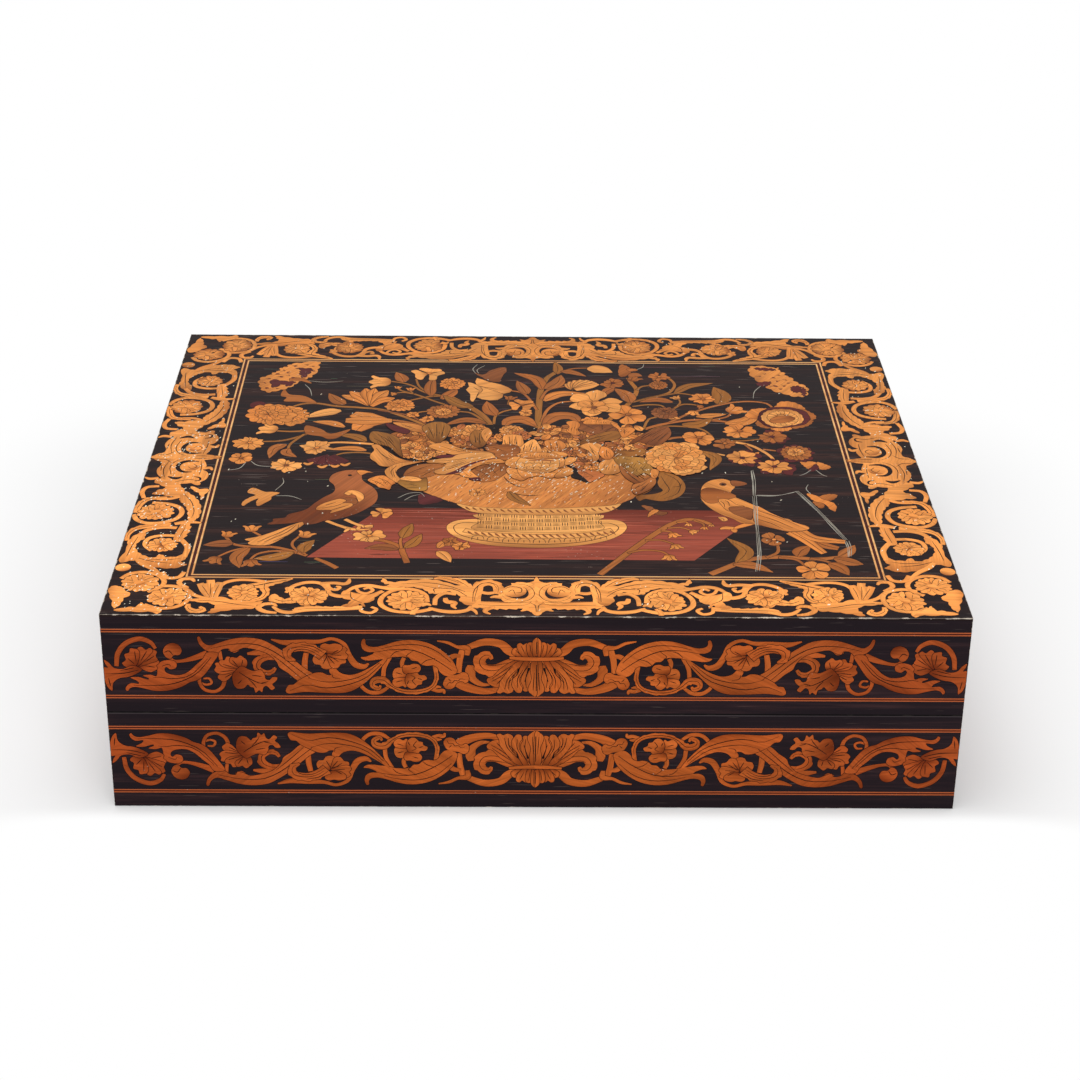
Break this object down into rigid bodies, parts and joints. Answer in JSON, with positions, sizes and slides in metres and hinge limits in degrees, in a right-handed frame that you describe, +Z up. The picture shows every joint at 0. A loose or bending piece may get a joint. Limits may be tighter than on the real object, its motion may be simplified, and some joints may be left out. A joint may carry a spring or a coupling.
{
  "type": "backgammon box",
  "caption": "Hinged wooden backgammon box in two equal halves with marquetry outside, playing fields inside, and loose men and dice.",
  "frame": {"origin": "middle of the underside of the closed box", "axes": "+X along the front to the right, +Y to the hinged back, +Z up"},
  "size_m": [0.48, 0.394, 0.126],
  "materials": {
    "ebony": "satin",
    "side_marquetry": "satin",
    "border_marquetry": "satin",
    "picture_marquetry": "satin",
    "side_string": "satin",
    "light_string": "satin",
    "carcass_wood": "oiled",
    "field_veneer": "satin",
    "light_point": "satin",
    "dark_point": "satin",
    "brass": "aged",
    "light_man": "polished",
    "dark_man": "polished",
    "bone": "polished"
  },
  "bodies": {
    "base": {"base_back_board": "carcass_wood", "base_back_veneer": "side_marquetry", "base_bottom_board": "carcass_wood", "base_dark_points": "dark_point", "base_field_veneer": "field_veneer", "base_front_board": "carcass_wood", "base_front_veneer": "side_marquetry", "base_hinge_leaves": "brass", "base_left_board": "carcass_wood", "base_left_veneer": "side_marquetry", "base_light_points": "light_point", "base_right_board": "carcass_wood", "base_right_veneer": "side_marquetry", "base_rim": "ebony", "base_side_stringing": "side_string", "hinge_pins": "brass"},
    "lid": {"lid_back_board": "carcass_wood", "lid_back_veneer": "side_marquetry", "lid_border_veneer": "border_marquetry", "lid_dark_points": "dark_point", "lid_field_veneer": "field_veneer", "lid_frame_dark_line": "ebony", "lid_frame_light_lines": "light_string", "lid_front_board": "carcass_wood", "lid_front_veneer": "side_marquetry", "lid_hinge_leaves": "brass", "lid_left_board": "carcass_wood", "lid_left_veneer": "side_marquetry", "lid_light_points": "light_point", "lid_picture_panel": "picture_marquetry", "lid_right_board": "carcass_wood", "lid_right_veneer": "side_marquetry", "lid_rim": "ebony", "lid_side_stringing": "side_string", "lid_top_board": "carcass_wood"},
    "light_men": {"light_men": "light_man"},
    "dark_men": {"dark_men": "dark_man"},
    "dice": {"dice": "bone"}
  },
  "joints": [
    {"name": "lid_hinge", "type": "hinge", "parent": "base", "child": "lid", "pos_m": [0, 0.196, 0.063], "axis": [-1, 0, 0], "range_deg": [0, 180]},
    {"name": "light_men_lift", "type": "slide", "parent": "base", "child": "light_men", "axis": [0, 0, 1], "range_m": [0, 0.053]},
    {"name": "dark_men_lift", "type": "slide", "parent": "base", "child": "dark_men", "axis": [0, 0, 1], "range_m": [0, 0.053]},
    {"name": "dice_lift", "type": "slide", "parent": "base", "child": "dice", "axis": [0, 0, 1], "range_m": [0, 0.053]}
  ]
}
